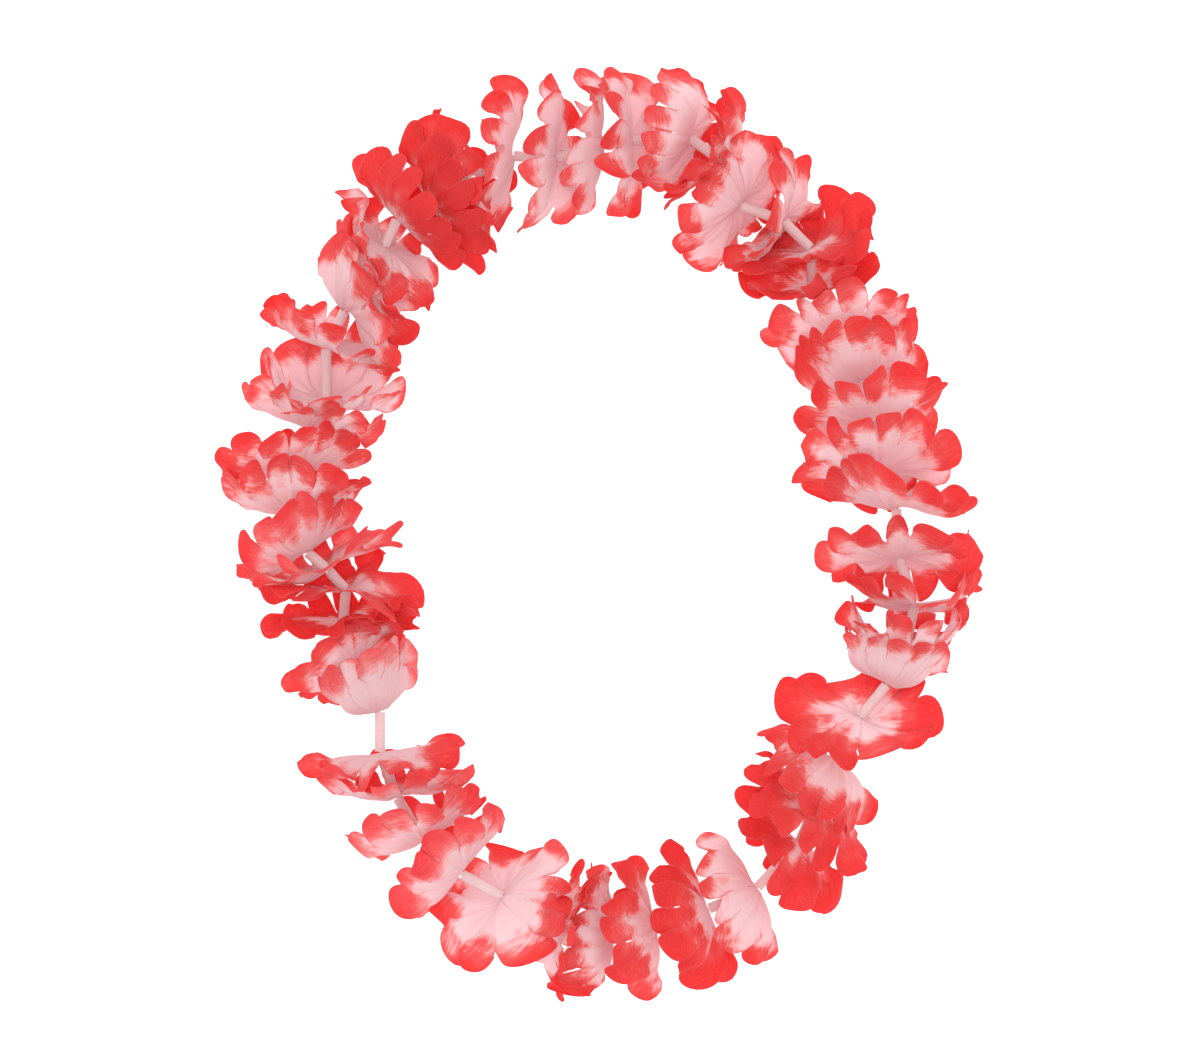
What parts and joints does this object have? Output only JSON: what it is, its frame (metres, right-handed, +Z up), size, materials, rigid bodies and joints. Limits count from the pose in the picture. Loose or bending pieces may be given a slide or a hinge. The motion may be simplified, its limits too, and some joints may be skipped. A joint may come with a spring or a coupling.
{
  "type": "artificial fabric flower lei",
  "caption": "Closed oval garland of red and white cloth florets with lobed edges, threaded on a string with straight plastic spacer tubes, lying flat.",
  "frame": {"origin": "middle of the oval seen from above, on the surface that the lei lies on", "axes": "+X across the oval to the right, +Y along its long way, +Z up"},
  "size_m": [0.3844, 0.4696, 0.0714],
  "materials": {
    "petal_cloth": "thin woven polyester, white in the middle of each floret and dyed red towards the tips of its lobes, soft sheen",
    "spacer_tube": "milky translucent thin-walled plastic, satin",
    "string": "twisted white thread"
  },
  "bodies": {
    "root": {"string_with_spacer_tubes": "spacer_tube", "floret_01": "petal_cloth", "floret_02": "petal_cloth", "floret_03": "petal_cloth", "floret_04": "petal_cloth", "floret_05": "petal_cloth", "floret_06": "petal_cloth", "floret_07": "petal_cloth", "floret_08": "petal_cloth", "floret_09": "petal_cloth", "floret_10": "petal_cloth", "floret_11": "petal_cloth", "floret_12": "petal_cloth", "floret_13": "petal_cloth", "floret_14": "petal_cloth", "floret_15": "petal_cloth", "floret_16": "petal_cloth", "floret_17": "petal_cloth", "floret_18": "petal_cloth", "floret_19": "petal_cloth", "floret_20": "petal_cloth", "floret_21": "petal_cloth", "floret_22": "petal_cloth", "floret_23": "petal_cloth", "floret_24": "petal_cloth", "floret_25": "petal_cloth", "floret_26": "petal_cloth", "floret_27": "petal_cloth", "floret_28": "petal_cloth", "floret_29": "petal_cloth", "floret_30": "petal_cloth", "floret_31": "petal_cloth", "floret_32": "petal_cloth", "floret_33": "petal_cloth", "floret_34": "petal_cloth", "floret_35": "petal_cloth", "floret_36": "petal_cloth", "floret_37": "petal_cloth", "floret_38": "petal_cloth", "floret_39": "petal_cloth", "floret_40": "petal_cloth", "floret_41": "petal_cloth", "floret_42": "petal_cloth", "floret_43": "petal_cloth", "floret_44": "petal_cloth", "floret_45": "petal_cloth", "floret_46": "petal_cloth", "floret_47": "petal_cloth", "floret_48": "petal_cloth", "floret_49": "petal_cloth", "floret_50": "petal_cloth"}
  },
  "joints": []
}
